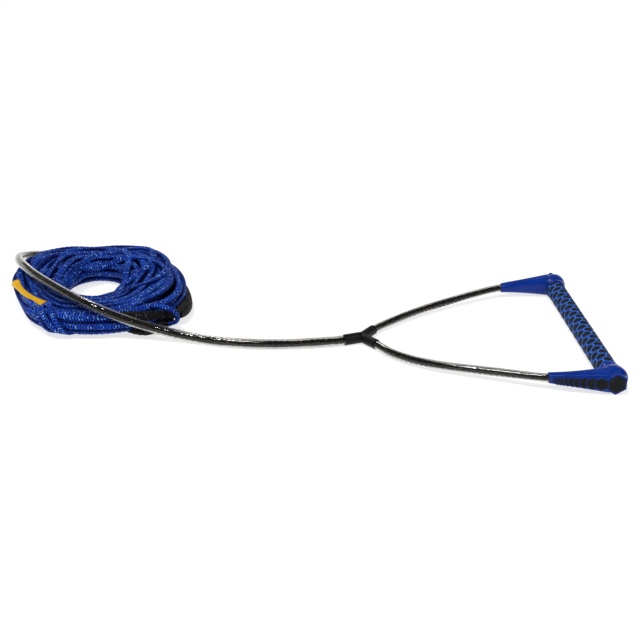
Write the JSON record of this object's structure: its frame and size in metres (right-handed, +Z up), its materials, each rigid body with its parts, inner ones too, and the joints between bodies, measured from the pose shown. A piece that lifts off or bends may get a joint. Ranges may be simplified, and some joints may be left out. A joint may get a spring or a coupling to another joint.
{
  "type": "tow rope handle",
  "caption": "Water-ski and wakeboard tow handle: gripped bar between two moulded end caps, clear-hosed rope bridle, Y junction, hosed line and a coiled main line.",
  "frame": {"origin": "bottom centre of the handle, bridle and Y junction as they lie flat, without the free line", "axes": "+X from the line towards the bar, +Y towards the right-hand end cap, +Z up from the surface that it lies on"},
  "size_m": [0.9143, 0.5888, 0.0663],
  "materials": {
    "cap_blue": "glossy moulded plastic, slightly marbled, rounded edges",
    "inlay_black": "satin black soft rubber",
    "grip": "blue rubber web with black leaf-shaped pads",
    "bar": "drawn tube, satin",
    "hose_clear": "clear flexible PVC",
    "rope_black": "braided polyethylene rope, slight sheen",
    "rope_blue": "flat hollow-braid polyethylene rope with light glints",
    "junction_black": "black moulded rubber, semi-gloss",
    "marker_yellow": "shrunk plastic sleeve, smooth"
  },
  "bodies": {
    "tow_line": {"trunk_hose": "hose_clear", "trunk_rope": "rope_black", "tail_rope": "rope_black", "tail_splice": "rope_black", "mainline_coil": "rope_blue", "mainline_eye": "rope_blue", "section_marker": "marker_yellow"},
    "y_body": {"trunk_sleeve": "junction_black", "left_leg_sleeve": "junction_black", "right_leg_sleeve": "junction_black", "y_splice": "rope_black"},
    "bridle": {"left_leg_hose": "hose_clear", "right_leg_hose": "hose_clear", "left_leg_rope": "rope_black", "right_leg_rope": "rope_black"},
    "handle": {"bar_tube": "bar", "grip_sleeve": "grip", "bar_rope": "rope_black", "left_end_cap": "cap_blue", "left_cap_inlay": "inlay_black", "left_cap_badge": "inlay_black", "right_end_cap": "cap_blue", "right_cap_inlay": "inlay_black", "right_cap_badge": "inlay_black"}
  },
  "joints": [
    {"name": "trunk_swing", "type": "hinge", "parent": "tow_line", "child": "y_body", "pos_m": [-0.19199, -0.01038, 0.0084], "axis": [0, 0, 1], "range_deg": [-35, 35], "stiffness_Nm_per_rad": 0.3},
    {"name": "bridle_lift", "type": "hinge", "parent": "y_body", "child": "bridle", "pos_m": [-0.13681, 0, 0.0084], "axis": [0, -1, 0], "range_deg": [0, 60], "stiffness_Nm_per_rad": 0.3},
    {"name": "handle_tilt", "type": "hinge", "parent": "bridle", "child": "handle", "pos_m": [0.07836, 0, 0.017], "axis": [0, -1, 0], "range_deg": [0, 75], "stiffness_Nm_per_rad": 0.2}
  ]
}
